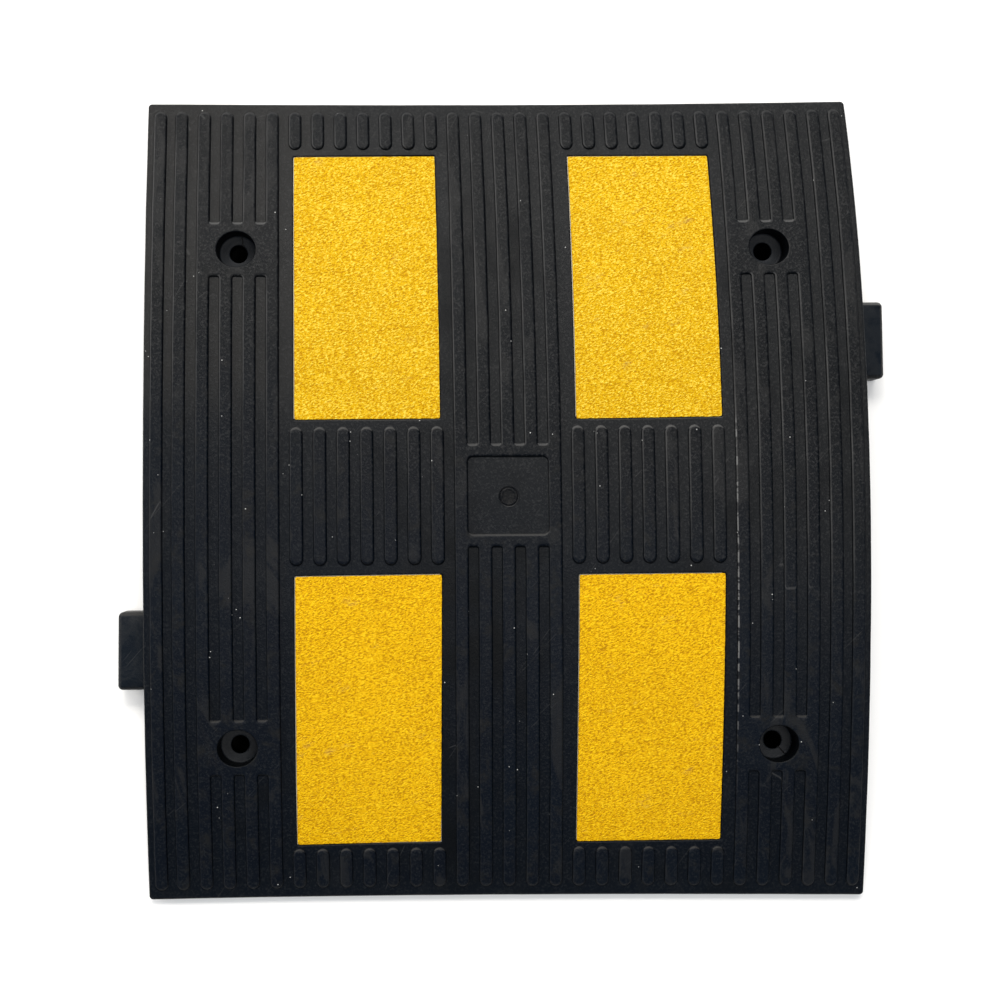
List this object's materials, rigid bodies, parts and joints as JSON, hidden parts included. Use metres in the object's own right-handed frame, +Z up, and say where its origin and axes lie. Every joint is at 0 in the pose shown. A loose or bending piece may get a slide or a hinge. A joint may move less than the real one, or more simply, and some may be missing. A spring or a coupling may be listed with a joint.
{
  "type": "rubber speed bump",
  "caption": "Arched rubber speed bump module with raised tread ribs, recessed yellow reflective panels, counterbored bolt holes and interlocking side lugs.",
  "frame": {"origin": "on the road surface, under the centre of the module", "axes": "+Z up, +Y along the direction that traffic crosses in (from the front edge to the rear edge), +X across the road from module to module"},
  "size_m": [0.5386, 0.56, 0.05],
  "materials": {
    "rubber": "moulded black rubber, satin with a dusty bloom",
    "reflective_sheet": "embossed yellow retroreflective sheet",
    "adhesive": "pressure-sensitive adhesive film"
  },
  "bodies": {
    "root": {"rubber_body": "rubber", "reflector_rear_right": "reflective_sheet", "reflector_rear_left": "reflective_sheet", "reflector_front_left": "reflective_sheet", "reflector_front_right": "reflective_sheet", "adhesive_rear_right": "adhesive", "adhesive_rear_left": "adhesive", "adhesive_front_left": "adhesive", "adhesive_front_right": "adhesive"}
  },
  "joints": []
}
